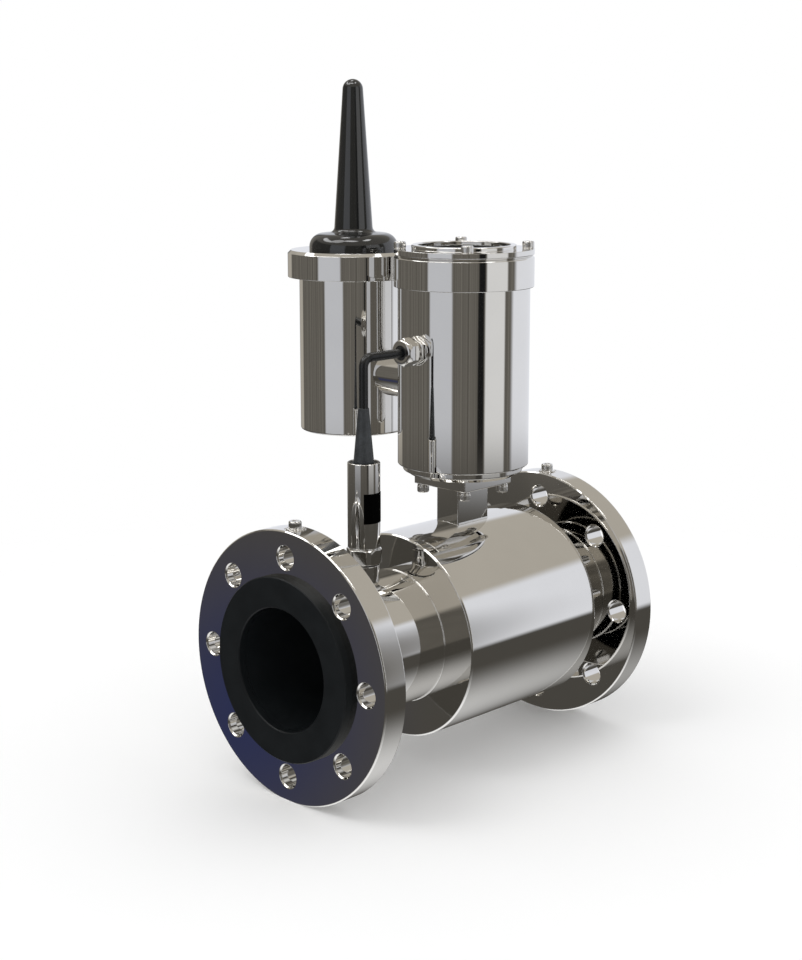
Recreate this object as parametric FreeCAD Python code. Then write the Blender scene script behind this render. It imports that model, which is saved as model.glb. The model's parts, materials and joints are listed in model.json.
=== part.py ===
import FreeCAD, Part
import math
import os

# Electromagnetic water meter for a DN 100 line, with a converter housing, a battery
# housing with a radio antenna, and a pressure sensor. Millimetres.
# Frame: +X is the flow axis from inlet to outlet, +Z is up, and the origin is the
# centre of the bore, halfway between the two flanges.

# Flow tube, liner and flanges
flange_spacing = 330.0
flange_thick = 22.0
flange_edge_chamfer = 1.0
pitch_circle_dia = 180.0
pitch_circle_to_rim = 21.4
bolt_hole_count = 8
bolt_hole_dia = 18.0
bolt_hole_chamfer = 1.2
bore_dia = 100.0
liner_thick = 3.0
tube_wall = 3.0
flare_to_hole = 6.0
flare_thick = 7.0
flare_edge_chamfer = 0.8
flare_seam_chamfer = 0.4

# Coil housing round the flow tube
shell_centre_x = 38.0
shell_length = 159.6
shell_wall = 3.0
end_plate_thick = 5.0
shell_edge_chamfer = 1.2

# Magnet and electrodes inside the coil housing
pole_length = 70.0
pole_half_angle = 48.0
pole_thick = 3.0
pole_clearance = 0.3
core_dia = 28.0
coil_dia = 50.0
coil_height = 14.3
bobbin_wall = 1.2
coil_clearance = 0.4
flux_ring_length = 64.0
flux_ring_thick = 2.0
flux_ring_clearance = 3.0
electrode_head_dia = 9.0
electrode_head_thick = 2.0
electrode_shank_dia = 5.0
electrode_length = 22.0
insulator_dia = 12.0
insulator_flange_dia = 18.0
insulator_flange_thick = 4.0
electrode_nut_flats = 9.0
electrode_nut_thick = 4.0
flush_margin = 1.0

# Socket head screws, all of one size
screw_dia = 6.0
screw_head_dia = 10.0
screw_head_height = 6.0
screw_head_chamfer = 0.5
socket_flats = 5.0
socket_depth = 3.0
lock_washer_dia = 9.6
lock_washer_thick = 1.6
lock_washer_slit = 0.8
washer_bore_clearance = 0.2
screw_hole_clearance = 0.3
hexagon_bevel_slope = 0.6

# Ground screws on the flange rims
ground_thread_end_wall = 2.0
ground_spot_margin = 1.0
ground_spot_depth = 0.4
tooth_washer_dia = 15.0
tooth_washer_thick = 1.0
tooth_count = 10
tooth_depth = 1.9
tooth_gap = 1.4

# Post and mounting plate that carry the converter
converter_x = 40.0
post_length = 38.2
post_width = 24.8
post_wall = 3.0
post_corner_round = 0.8
plate_underside_z = 118.0
plate_side = 59.0
plate_thick = 10.0
plate_edge_chamfer = 0.6
plate_screw_edge_gap = 0.5
plate_screw_depth = 6.0
cable_way_dia = 14.0

# Converter housing
converter_dia = 112.0
converter_wall = 3.0
converter_floor = 3.7
converter_height = 186.0
foot_bevel_inset = 5.6
foot_bevel_height = 3.0
foot_step_inset = 4.6
foot_step_height = 5.3
foot_edge_round = 1.0
collar_step = 3.3
collar_height = 25.7
collar_sleeve = 10.0
seam_chamfer = 1.5

# Converter lid and window, from the lid's edge inwards
lid_thick = 5.8
lid_screw_edge_gap = 0.3
lid_screw_depth = 9.0
lid_seal_outer_land = 1.5
lid_seal_width = 2.4
lid_seal_inner_land = 1.1
lid_seal_thick = 1.6
lid_spigot_clearance = 0.3
lid_spigot_wall = 3.4
lid_spigot_depth = 6.0
window_clearance = 0.3
window_overlap = 2.8
window_thick = 4.0
window_bevel = 0.4
window_gasket_thick = 0.8
window_cover = 4.0
retainer_width = 4.0
retainer_thick = 3.0
lid_rim_width = 5.3
lid_rim_height = 3.5
lid_rim_round = 1.2
lid_rim_inner_chamfer = 0.6

# Electronics in the converter
board_clearance = 2.0
board_thick = 1.6
board_notch_depth = 5.5
board_notch_length = 30.0
power_board_height = 44.0
main_board_drop = 28.0
display_gap = 3.4
standoff_dia = 6.0
standoff_edge_gap = 1.0
terminal_inset = 16.0
terminal_gap = 1.9
terminal_depth = 10.0
terminal_height = 14.0
terminal_ways = 6
terminal_entry_width = 4.4
transformer_side = 26.0
transformer_height = 22.0
transformer_round = 1.3
chip_side = 14.0
chip_height = 2.4
chip_row_offset = 14.0
chip_gap = 3.0
shield_length = 30.0
shield_width = 22.0
shield_height = 5.0
lcd_length = 58.0
lcd_width = 34.0
lcd_thick = 4.0
mask_inset = 2.0
mask_thick = 3.0
mask_wall = 1.6
mask_overlap = 2.0

# Bridge tube between the two housings
bridge_dia = 40.0
bridge_wall = 2.5
bridge_height = 77.0

# Battery housing
housing_pitch = 134.0
battery_housing_dia = 98.0
battery_wall = 3.0
battery_floor = 5.0
battery_base_step = 22.0
battery_edge_round = 1.5
cap_wall = 10.3
cap_height = 23.9
cap_top_thick = 7.2
cap_chamfer = 2.7
cap_hole_dia = 26.0
cap_seal_height = 2.4
cap_seal_depth = 1.5
cap_seal_step = 3.0
cell_dia = 33.0
cell_gap = 3.4
cell_count = 3
cell_layers = 2
cell_edge_bevel = 2.0
cell_stack_headroom = 10.4
holder_clearance = 2.0
holder_thick = 4.0
holder_bore_dia = 14.0
modem_board_inset = 2.0
modem_length = 40.0
modem_width = 30.0
modem_height = 6.0

# Antenna: radome, hub and rod
dome_dia = 79.4
dome_wall_height = 2.6
dome_round = 12.0
dome_top_rise = 0.6
radome_wall = 3.0
mast_root_dia = 34.3
mast_fillet = 5.0
mast_tip_dia = 18.2
mast_height = 150.0
radome_seal_width = 2.4
radome_seal_thick = 1.4
hub_dia = 44.0
hub_thick = 5.0
hub_neck_dia = 16.0
hub_neck_height = 12.0
hub_thread_length = 7.0
hub_nut_flats = 32.0
hub_nut_thick = 5.0
rod_dia = 5.0
rod_tip_gap = 6.0

# Pressure sensor
sensor_x = -78.8
boss_dia = 25.0
boss_height = 12.8
sensor_seal_thick = 1.5
sensor_thread_dia = 13.0
sensor_hex_flats = 27.0
sensor_hex_bar_dia = 29.2
sensor_hex_height = 12.4
sensor_groove_dia = 24.0
sensor_groove_height = 0.8
sensor_dia = 26.8
sensor_body_height = 70.5
sensor_rim_wall = 1.6
sensor_rim_depth = 5.0
sensor_edge_chamfer = 0.4
patch_low = 21.5
patch_height = 24.7
patch_angle = 90.0
patch_thick = 0.3
boot_base_thick = 4.0
boot_root_dia = 16.8
boot_tip_dia = 8.8
boot_height = 44.2

# Sensor cable and its gland
cable_dia = 7.6
cable_bend_radius = 7.6
cable_tail = 8.0
gland_height = 110.5
gland_thread_dia = 16.0
gland_flange_dia = 24.6
gland_flange_thick = 1.6
gland_flange_chamfer = 0.3
gland_hex_flats = 21.0
gland_hex_height = 6.0
gland_neck_dia = 17.0
gland_neck_height = 2.5
gland_nut_flats = 21.0
gland_nut_height = 12.0
gland_nut_round = 3.0
gland_nut_grip = 6.0
gland_mouth_dia = 12.5
gland_seal_recess = 1.5
locknut_thick = 4.0

# Sizes of tube, flanges and coil housing that follow from the ones above
bore_r = bore_dia / 2
tube_inner_r = bore_r + liner_thick
tube_r = tube_inner_r + tube_wall
flange_dia = pitch_circle_dia + 2 * pitch_circle_to_rim
flare_dia = pitch_circle_dia - bolt_hole_dia - 2 * flare_to_hole
flange_face_x = flange_spacing / 2
flange_back_x = flange_face_x - flange_thick
rim_to_hole = pitch_circle_to_rim - bolt_hole_dia / 2
ground_thread_depth = rim_to_hole - ground_spot_depth - ground_thread_end_wall
ground_spot_dia = tooth_washer_dia + 2 * ground_spot_margin
pole_inner_r = tube_r + pole_clearance
pole_outer_r = pole_inner_r + pole_thick
coil_bottom_z = pole_outer_r + coil_clearance
coil_top_z = coil_bottom_z + coil_height
flux_inner_r = math.hypot(coil_top_z + coil_clearance, coil_dia / 2)
flux_outer_r = flux_inner_r + flux_ring_thick
shell_inner_r = flux_outer_r + flux_ring_clearance
shell_r = shell_inner_r + shell_wall
shell_near_x = shell_centre_x - shell_length / 2

# Diameters of converter, collar and lid, from the outside inwards
foot_step_dia = converter_dia - 2 * foot_step_inset
foot_dia = foot_step_dia - 2 * foot_bevel_inset
collar_dia = converter_dia + 2 * collar_step
lid_screw_circle_dia = collar_dia - screw_head_dia - 2 * lid_screw_edge_gap
lid_seal_dia = lid_screw_circle_dia - screw_dia - 2 * lid_seal_outer_land
lid_seal_bore_dia = lid_seal_dia - 2 * lid_seal_width
collar_bore_dia = lid_seal_bore_dia - 2 * lid_seal_inner_land
spigot_dia = collar_bore_dia - 2 * lid_spigot_clearance
window_seat_dia = spigot_dia - 2 * lid_spigot_wall
window_dia = window_seat_dia - 2 * window_clearance
window_opening_dia = window_dia - 2 * window_overlap
retainer_bore_dia = window_dia - 2 * retainer_width
lid_rim_dia = window_opening_dia + 2 * lid_rim_width
plate_screw_pitch = plate_side - screw_head_dia - 2 * plate_screw_edge_gap

# Heights on converter and lid
foot_z = plate_underside_z + plate_thick
foot_rise = foot_bevel_height + foot_step_height
floor_z = foot_z + foot_rise + converter_floor
joint_z = foot_z + converter_height
collar_bottom_z = joint_z - collar_height
lid_top_z = joint_z + lid_thick
rim_top_z = lid_top_z + lid_rim_height
window_top_z = rim_top_z - window_cover - window_gasket_thick
window_bottom_z = window_top_z - window_thick
retainer_z = window_bottom_z - retainer_thick
bridge_z = foot_z + bridge_height
gland_z = foot_z + gland_height

# Electronics: boards hang on the lid's underside, and their pillars stand on the floor
board_dia = collar_bore_dia - 2 * board_clearance
mask_dia = board_dia - 2 * mask_inset
lcd_z = retainer_z - display_gap - mask_thick - lcd_thick
display_board_z = lcd_z - board_thick
main_board_z = display_board_z - main_board_drop
power_board_z = floor_z + power_board_height
standoff_offset = (mask_dia - standoff_dia - 2 * standoff_edge_gap) / 2 / math.sqrt(2)
terminal_length = 2 * standoff_offset - standoff_dia - 2 * terminal_gap

# Battery housing, its cap and what stands in it
battery_z = foot_z + battery_base_step
battery_floor_z = battery_z + battery_floor
battery_bore_dia = battery_housing_dia - 2 * battery_wall
cap_dia = battery_housing_dia + 2 * cap_wall
cap_top_z = collar_bottom_z + cap_height
cap_under_z = cap_top_z - cap_top_thick
modem_z = cap_under_z - cell_stack_headroom - modem_height - board_thick
holder_dia = battery_bore_dia - 2 * holder_clearance
modem_board_dia = holder_dia - 2 * modem_board_inset
cell_circle_dia = (cell_dia + cell_gap) / math.sin(math.pi / cell_count)
cell_pitch_z = (modem_z - holder_thick - battery_floor_z) / cell_layers
cell_length = cell_pitch_z - holder_thick

# Pressure sensor and cable gland
boss_top_z = tube_r + boss_height
hex_z = boss_top_z + sensor_seal_thick
sensor_z = hex_z + sensor_hex_height + sensor_groove_height
sensor_top_z = sensor_z + sensor_body_height
boot_z = sensor_top_z - sensor_rim_depth
gland_wall_x = converter_x - converter_dia / 2
gland_inner_x = gland_wall_x + converter_wall
gland_nut_x = gland_wall_x - gland_hex_height - gland_neck_height
gland_seal_length = gland_nut_height - gland_nut_grip - gland_seal_recess

X = FreeCAD.Vector(1, 0, 0)
Y = FreeCAD.Vector(0, 1, 0)
Z = FreeCAD.Vector(0, 0, 1)


def point(x, y, z):
    return FreeCAD.Vector(x, y, z)


def cylinder(dia, length, base, axis=Z):
    return Part.makeCylinder(dia / 2, length, base, axis)


def ring(outer_dia, inner_dia, length, base, axis=Z):
    return cylinder(outer_dia, length, base, axis).cut(cylinder(inner_dia, length, base, axis))


def block(length, width, height, centre):
    """Box centred on a point in X and Y, standing on its height."""
    corner = centre - point(length / 2, width / 2, 0)
    return Part.makeBox(length, width, height, corner)


def hexagon(flats, height, base, axis=Z, turn=0.0):
    """Hexagonal prism with its corners turned about its own axis."""
    corner_r = flats / 2 / math.cos(math.pi / 6)
    angles = [math.radians(turn + 60 * step) for step in range(7)]
    corners = [point(corner_r * math.cos(a), corner_r * math.sin(a), 0) for a in angles]
    prism = Part.Face(Part.makePolygon(corners)).extrude(Z * height)
    prism.Placement = FreeCAD.Placement(base, FreeCAD.Rotation(Z, axis))
    return prism


def hex_cone_cut(solid, flats, height, base, axis, both_ends):
    """Bevel the corners of a hexagon as a lathe does, at the top or at both ends."""
    corner_r = flats / 2 / math.cos(math.pi / 6)
    bevel = corner_r - flats / 2
    rise = bevel * hexagon_bevel_slope
    low = rise if both_ends else 0.0
    start_r = flats / 2 if both_ends else corner_r
    outline = [(0, 0), (start_r, 0), (corner_r, low), (corner_r, height - rise)]
    outline += [(flats / 2, height), (0, height)]
    return solid.common(turned(outline, base, axis))


def turned(outline, base, axis=Z):
    """Solid of revolution about an axis through a base point.

    Each entry of the outline is a corner (radius, height), or an arc that ends at its
    last two numbers and passes through its first two."""
    edges = []
    here = outline[0]
    for entry in list(outline[1:]) + [outline[0]]:
        end = entry[-2:]
        if math.dist(here, end) < 1e-6:
            continue
        start_point = point(here[0], 0, here[1])
        end_point = point(end[0], 0, end[1])
        if len(entry) == 4:
            middle = point(entry[0], 0, entry[1])
            edges.append(Part.Arc(start_point, middle, end_point).toShape())
        else:
            edges.append(Part.LineSegment(start_point, end_point).toShape())
        here = end
    face = Part.Face(Part.Wire(edges))
    solid = face.revolve(point(0, 0, 0), Z, 360)
    solid.Placement = FreeCAD.Placement(base, FreeCAD.Rotation(Z, axis))
    return solid


def arc_through(centre, radius, start_deg, end_deg):
    """Arc entry for an outline, from the middle angle to the end angle."""
    middle = math.radians((start_deg + end_deg) / 2)
    end = math.radians(end_deg)
    return (centre[0] + radius * math.cos(middle), centre[1] + radius * math.sin(middle),
            centre[0] + radius * math.cos(end), centre[1] + radius * math.sin(end))


def cap_screw(seat, towards_tip, reach):
    """Socket head screw whose head stands on a seat, with its shank reaching inwards."""
    outline = [(0, -reach), (screw_dia / 2, -reach), (screw_dia / 2, 0), (screw_head_dia / 2, 0)]
    outline += [(screw_head_dia / 2, screw_head_height - screw_head_chamfer)]
    outline += [(screw_head_dia / 2 - screw_head_chamfer, screw_head_height)]
    outline += [(0, screw_head_height)]
    body = turned(outline, seat, towards_tip * -1)
    socket_base = seat - towards_tip * (screw_head_height - socket_depth)
    return body.cut(hexagon(socket_flats, socket_depth, socket_base, towards_tip * -1))


def wall_sector(outer_r, wall, length, base, axis, middle, half_angle):
    """Part of a tube's wall, centred on a direction across the tube's axis."""
    start = FreeCAD.Rotation(axis, -half_angle).multVec(middle)
    near = base + start * (outer_r - wall)
    far = base + start * outer_r
    corners = [near, far, far + axis * length, near + axis * length, near]
    return Part.Face(Part.makePolygon(corners)).revolve(base, axis, 2 * half_angle)


def diagonal_points(centre_x, centre_y, half_pitch, z):
    """Four points on the diagonals round a vertical axis."""
    signs = [(1, 1), (-1, 1), (-1, -1), (1, -1)]
    return [point(centre_x + sx * half_pitch, centre_y + sy * half_pitch, z) for sx, sy in signs]


def flange(side):
    """Flat flange with eight bolt holes and a tapped hole for its ground screw."""
    outer_r = flange_dia / 2
    edge = flange_edge_chamfer
    outline = [(tube_r, 0), (outer_r - edge, 0), (outer_r, edge), (outer_r, flange_thick - edge)]
    outline += [(outer_r - edge, flange_thick), (tube_r, flange_thick)]
    outward = X * side
    back = outward * flange_back_x
    plate = turned(outline, back, outward)
    hole_r = bolt_hole_dia / 2
    wide_r = hole_r + bolt_hole_chamfer
    hole_outline = [(0, 0), (wide_r, 0), (hole_r, bolt_hole_chamfer)]
    hole_outline += [(hole_r, flange_thick - bolt_hole_chamfer), (wide_r, flange_thick)]
    hole_outline += [(0, flange_thick)]
    for index in range(bolt_hole_count):
        angle = math.radians(360 / bolt_hole_count * index)
        centre = point(0, math.sin(angle), math.cos(angle)) * (pitch_circle_dia / 2)
        plate = plate.cut(turned(hole_outline, back + centre, outward))
    middle_x = side * (flange_back_x + flange_thick / 2)
    spot_z = flange_dia / 2 - ground_spot_depth
    spot = cylinder(ground_spot_dia, ground_spot_depth * 2, point(middle_x, 0, spot_z))
    thread = cylinder(screw_dia, ground_thread_depth, point(middle_x, 0, spot_z - ground_thread_depth))
    return plate.cut(spot).cut(thread)


def sensor_shank_space():
    """Space that the threaded end of the pressure sensor fills, down to the bore."""
    shank = cylinder(sensor_thread_dia, hex_z, point(sensor_x, 0, 0))
    return shank.cut(cylinder(bore_dia, flange_spacing, point(-flange_face_x, 0, 0), X))


def electrode_space(dia, inner_y, length, side):
    return cylinder(dia, length, point(shell_centre_x, side * inner_y, 0), Y * side)


def measuring_tube():
    """Flow tube through both flanges, with holes for electrodes and pressure sensor."""
    tube = ring(2 * tube_r, 2 * tube_inner_r, flange_spacing, point(-flange_face_x, 0, 0), X)
    for side in (1, -1):
        reach = tube_wall + 2 * flush_margin
        tube = tube.cut(electrode_space(insulator_dia, tube_inner_r - flush_margin, reach, side))
    return tube.cut(sensor_shank_space())


def liner():
    """Rubber liner of the tube between the two flares."""
    sleeve = ring(2 * tube_inner_r, bore_dia, flange_spacing, point(-flange_face_x, 0, 0), X)
    for side in (1, -1):
        sleeve = sleeve.cut(electrode(side))
    return sleeve.cut(sensor_shank_space())


def liner_flare(side):
    """Rubber flare on a flange's face, with its edges broken and a seam towards the liner."""
    flare_r = flare_dia / 2
    edge = flare_edge_chamfer
    seam = flare_seam_chamfer
    outline = [(bore_r + seam, 0), (flare_r, 0), (flare_r, flare_thick - edge)]
    outline += [(flare_r - edge, flare_thick), (bore_r + edge, flare_thick)]
    outline += [(bore_r, flare_thick - edge), (bore_r, seam)]
    return turned(outline, point(side * flange_face_x, 0, 0), X * side)


def electrode(side):
    """Measuring electrode with its head flush in the bore and its shank through the wall."""
    inner_y = bore_r - flush_margin
    head_length = electrode_head_thick + flush_margin
    head = electrode_space(electrode_head_dia, inner_y, head_length, side)
    shank = electrode_space(electrode_shank_dia, inner_y, electrode_length + flush_margin, side)
    pin = head.fuse(shank)
    return pin.cut(cylinder(bore_dia, flange_spacing, point(-flange_face_x, 0, 0), X)).removeSplitter()


def electrode_insulator(side):
    bush = electrode_space(insulator_dia, tube_inner_r, tube_wall + insulator_flange_thick, side)
    collar = electrode_space(insulator_flange_dia, tube_inner_r, tube_wall + insulator_flange_thick, side)
    collar = collar.cut(cylinder(2 * tube_r, flange_spacing, point(-flange_face_x, 0, 0), X))
    bush = bush.cut(cylinder(2 * tube_inner_r, flange_spacing, point(-flange_face_x, 0, 0), X))
    return bush.fuse(collar).cut(electrode(side)).removeSplitter()


def electrode_nut(side):
    seat_y = side * (tube_r + insulator_flange_thick)
    base = point(shell_centre_x, seat_y, 0)
    nut = hexagon(electrode_nut_flats, electrode_nut_thick, base, Y * side)
    return nut.cut(electrode(side))


def coil_housing():
    """Tube round the magnet, closed by the end plates, open to the post above it."""
    length = shell_length - 2 * end_plate_thick
    start = point(shell_near_x + end_plate_thick, 0, 0)
    shell = ring(2 * shell_r, 2 * shell_inner_r, length, start, X)
    return shell.cut(post_space())


def post_space():
    """Hollow of the post, down into the coil housing."""
    length = post_length - 2 * post_wall
    width = post_width - 2 * post_wall
    return block(length, width, plate_underside_z, point(converter_x, 0, 0))


def end_plate(side):
    """Ring that closes one end of the coil housing on the flow tube."""
    outline = [(tube_r, 0), (shell_r, 0), (shell_r, end_plate_thick - shell_edge_chamfer)]
    outline += [(shell_r - shell_edge_chamfer, end_plate_thick), (tube_r, end_plate_thick)]
    inner_x = shell_centre_x + side * (shell_length / 2 - end_plate_thick)
    return turned(outline, point(inner_x, 0, 0), X * side)


def pole_piece(side):
    """Saddle plate over the flow tube with the round core that carries the coil."""
    start = point(shell_centre_x - pole_length / 2, 0, 0)
    saddle = wall_sector(pole_outer_r, pole_thick, pole_length, start, X, Z, pole_half_angle)
    core = cylinder(core_dia, flux_outer_r, point(shell_centre_x, 0, 0))
    core = core.cut(cylinder(2 * pole_inner_r, flange_spacing, point(-flange_face_x, 0, 0), X))
    core = core.common(cylinder(2 * flux_inner_r, flange_spacing, point(-flange_face_x, 0, 0), X))
    piece = saddle.fuse(core).removeSplitter()
    if side < 0:
        piece = piece.mirror(point(0, 0, 0), Z)
    return piece


def bobbin(side):
    """Spool between saddle plate and flux ring, round the core."""
    inner = core_dia / 2 + coil_clearance
    outer = coil_dia / 2
    wall = bobbin_wall
    top = coil_height
    outline = [(inner, 0), (outer, 0), (outer, wall), (inner + wall, wall)]
    outline += [(inner + wall, top - wall), (outer, top - wall), (outer, top), (inner, top)]
    return turned(outline, point(shell_centre_x, 0, side * coil_bottom_z), Z * side)


def field_coil(side):
    inner_dia = core_dia + 2 * (coil_clearance + bobbin_wall)
    start = point(shell_centre_x, 0, side * (coil_bottom_z + bobbin_wall))
    return ring(coil_dia, inner_dia, coil_height - 2 * bobbin_wall, start, Z * side)


def flux_ring():
    """Steel band that joins the outer ends of the two cores."""
    start = point(shell_centre_x - flux_ring_length / 2, 0, 0)
    return ring(2 * flux_outer_r, 2 * flux_inner_r, flux_ring_length, start, X)


def post():
    """Rectangular tube welded between the coil housing and the mounting plate."""
    outer = block(post_length, post_width, plate_underside_z, point(converter_x, 0, 0))
    edges = [edge for edge in outer.Edges if abs(edge.tangentAt(edge.FirstParameter).z) > 0.9]
    outer = outer.makeFillet(post_corner_round, edges)
    saddle = cylinder(2 * shell_r, shell_length, point(shell_near_x, 0, 0), X)
    return outer.cut(post_space()).cut(saddle)


def mounting_plate():
    centre = point(converter_x, 0, plate_underside_z)
    plate = block(plate_side, plate_side, plate_thick, centre)
    plate = plate.makeChamfer(plate_edge_chamfer, plate.Edges)
    plate = plate.cut(cylinder(cable_way_dia, plate_thick, centre))
    clearance_dia = screw_dia + 2 * screw_hole_clearance
    for seat in diagonal_points(converter_x, 0, plate_screw_pitch / 2, plate_underside_z):
        plate = plate.cut(cylinder(clearance_dia, plate_thick, seat))
    return plate


def plate_screws():
    """Screws from below, through lock washers and plate, into the converter floor."""
    head_z = plate_underside_z - lock_washer_thick
    reach = lock_washer_thick + plate_thick + plate_screw_depth
    seats = diagonal_points(converter_x, 0, plate_screw_pitch / 2, head_z)
    return Part.makeCompound([cap_screw(seat, Z, reach) for seat in seats])


def plate_lock_washers():
    seat_z = plate_underside_z - lock_washer_thick
    washers = []
    for seat in diagonal_points(converter_x, 0, plate_screw_pitch / 2, seat_z):
        bore = screw_dia + 2 * washer_bore_clearance
        washer = ring(lock_washer_dia, bore, lock_washer_thick, seat)
        slit_centre = seat + X * (lock_washer_dia / 2)
        slit = block(lock_washer_dia, lock_washer_slit, lock_washer_thick, slit_centre)
        washers.append(washer.cut(slit))
    return Part.makeCompound(washers)


def converter_housing():
    """Housing of the converter: stepped foot, floor and tube in one welded piece."""
    outer_r = converter_dia / 2
    inner_r = outer_r - converter_wall
    step_r = foot_step_dia / 2
    edge = foot_edge_round
    floor_top = foot_rise + converter_floor
    tube_top = converter_height - collar_height + collar_sleeve
    outline = [(0, 0), (foot_dia / 2, 0), (step_r - edge, foot_bevel_height)]
    outline += [arc_through((step_r - edge, foot_bevel_height + edge), edge, -90, 0)]
    outline += [(step_r, foot_rise), (outer_r - edge, foot_rise)]
    outline += [arc_through((outer_r - edge, foot_rise + edge), edge, -90, 0)]
    outline += [(outer_r, tube_top), (inner_r, tube_top), (inner_r, floor_top), (0, floor_top)]
    can = turned(outline, point(converter_x, 0, foot_z))
    can = can.cut(cylinder(cable_way_dia, floor_top, point(converter_x, 0, foot_z)))
    for seat in diagonal_points(converter_x, 0, plate_screw_pitch / 2, foot_z):
        can = can.cut(cylinder(screw_dia, plate_screw_depth, seat))
    can = can.cut(gland_thread_space())
    return can.cut(bridge_bore())


def converter_collar():
    """Collar round the mouth of the converter housing, tapped for the lid screws."""
    outer_r = collar_dia / 2
    tube_outer_r = converter_dia / 2
    outline = [(tube_outer_r, 0), (outer_r, 0), (outer_r, collar_height - seam_chamfer)]
    outline += [(outer_r - seam_chamfer, collar_height), (collar_bore_dia / 2, collar_height)]
    outline += [(collar_bore_dia / 2, collar_sleeve), (tube_outer_r, collar_sleeve)]
    collar = turned(outline, point(converter_x, 0, collar_bottom_z))
    collar = collar.cut(lid_seal())
    for seat in lid_screw_seats():
        base = point(seat.x, seat.y, joint_z - lid_screw_depth)
        collar = collar.cut(cylinder(screw_dia, lid_screw_depth, base))
    return collar


def lid_screw_seats():
    half_pitch = lid_screw_circle_dia / 2 / math.sqrt(2)
    return diagonal_points(converter_x, 0, half_pitch, lid_top_z)


def lid_seal():
    """Rubber ring in a groove in the top of the collar."""
    base = point(converter_x, 0, joint_z - lid_seal_thick)
    return ring(lid_seal_dia, lid_seal_bore_dia, lid_seal_thick, base)


def lid_ring():
    """Turned lid with a raised rim round the window and a spigot that centres it."""
    outer_r = collar_dia / 2
    rim_r = lid_rim_dia / 2
    opening_r = window_opening_dia / 2
    spigot_r = spigot_dia / 2
    seat_r = window_seat_dia / 2
    seat_z = rim_top_z - window_cover - joint_z
    top = lid_thick
    rim_top = lid_thick + lid_rim_height
    outline = [(spigot_r, 0), (outer_r - seam_chamfer, 0), (outer_r, seam_chamfer), (outer_r, top)]
    outline += [(rim_r, top), (rim_r, rim_top - lid_rim_round)]
    outline += [arc_through((rim_r - lid_rim_round, rim_top - lid_rim_round), lid_rim_round, 0, 90)]
    outline += [(opening_r + lid_rim_inner_chamfer, rim_top)]
    outline += [(opening_r, rim_top - lid_rim_inner_chamfer)]
    outline += [(opening_r, seat_z), (seat_r, seat_z), (seat_r, -lid_spigot_depth)]
    outline += [(spigot_r, -lid_spigot_depth)]
    lid = turned(outline, point(converter_x, 0, joint_z))
    for seat in lid_screw_seats():
        base = point(seat.x, seat.y, joint_z)
        lid = lid.cut(cylinder(screw_dia + 2 * screw_hole_clearance, lid_thick, base))
    return lid


def lid_screws():
    reach = lid_thick + lid_screw_depth
    return Part.makeCompound([cap_screw(seat, Z * -1, reach) for seat in lid_screw_seats()])


def window():
    """Round glass seen through the lid, with a small bevel on its upper edge."""
    radius = window_dia / 2
    outline = [(0, 0), (radius, 0), (radius, window_thick - window_bevel)]
    outline += [(radius - window_bevel, window_thick), (0, window_thick)]
    return turned(outline, point(converter_x, 0, window_bottom_z))


def window_gasket():
    base = point(converter_x, 0, window_top_z)
    return ring(window_dia, window_opening_dia, window_gasket_thick, base)


def window_retainer():
    """Ring screwed into the lid below the glass."""
    base = point(converter_x, 0, retainer_z)
    return ring(window_seat_dia, retainer_bore_dia, retainer_thick, base)


def board(dia, z):
    """Round circuit board with a notch for wires on either side."""
    disc = cylinder(dia, board_thick, point(converter_x, 0, z))
    for side in (1, -1):
        edge = point(converter_x, side * dia / 2, z)
        disc = disc.cut(block(board_notch_length, 2 * board_notch_depth, board_thick, edge))
    return disc


def power_board():
    return board(board_dia, power_board_z)


def main_board():
    return board(board_dia, main_board_z)


def terminal_strips():
    """Two terminal strips with wire entries, one near each edge of the power board."""
    top_z = power_board_z + board_thick
    parts = []
    row_x = board_dia / 2 - terminal_inset
    entry_pitch = terminal_length / terminal_ways
    entry_z = top_z + terminal_height - terminal_entry_width
    for side in (1, -1):
        centre = point(converter_x + side * row_x, 0, top_z)
        strip = block(terminal_depth, terminal_length, terminal_height, centre)
        for index in range(terminal_ways):
            entry_y = (index + 0.5) * entry_pitch - terminal_length / 2
            mouth = point(centre.x - side * terminal_depth / 2, entry_y, entry_z)
            entry = block(terminal_depth, terminal_entry_width, terminal_entry_width, mouth)
            strip = strip.cut(entry)
        parts.append(strip)
    return parts


def transformer():
    top_z = power_board_z + board_thick
    core = block(transformer_side, transformer_side, transformer_height, point(converter_x, 0, top_z))
    edges = [edge for edge in core.Edges if edge.BoundBox.ZMin > top_z + transformer_height / 2]
    return core.makeFillet(transformer_round, edges)


def main_board_chips():
    """Processor, memory and the shielded input amplifier."""
    top_z = main_board_z + board_thick
    row = (chip_side + chip_gap) / 2
    processor_centre = point(converter_x + chip_row_offset, row, top_z)
    memory_centre = point(converter_x + chip_row_offset, -row, top_z)
    shield_centre = point(converter_x - chip_row_offset, 0, top_z)
    processor = block(chip_side, chip_side, chip_height, processor_centre)
    memory = block(chip_side, chip_side / 2, chip_height, memory_centre)
    shield = block(shield_width, shield_length, shield_height, shield_centre)
    return Part.makeCompound([processor, memory, shield])


def board_standoffs():
    """Three tiers of pillars, from the floor to each board in turn."""
    lows = [floor_z, power_board_z + board_thick, main_board_z + board_thick]
    highs = [power_board_z, main_board_z, display_board_z]
    pillars = []
    for low, high in zip(lows, highs):
        for seat in diagonal_points(converter_x, 0, standoff_offset, low):
            pillars.append(cylinder(standoff_dia, high - low, seat))
    return Part.makeCompound(pillars)


def display_board():
    return board(mask_dia, display_board_z)


def lcd_panel():
    return block(lcd_length, lcd_width, lcd_thick, point(converter_x, 0, lcd_z))


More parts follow.
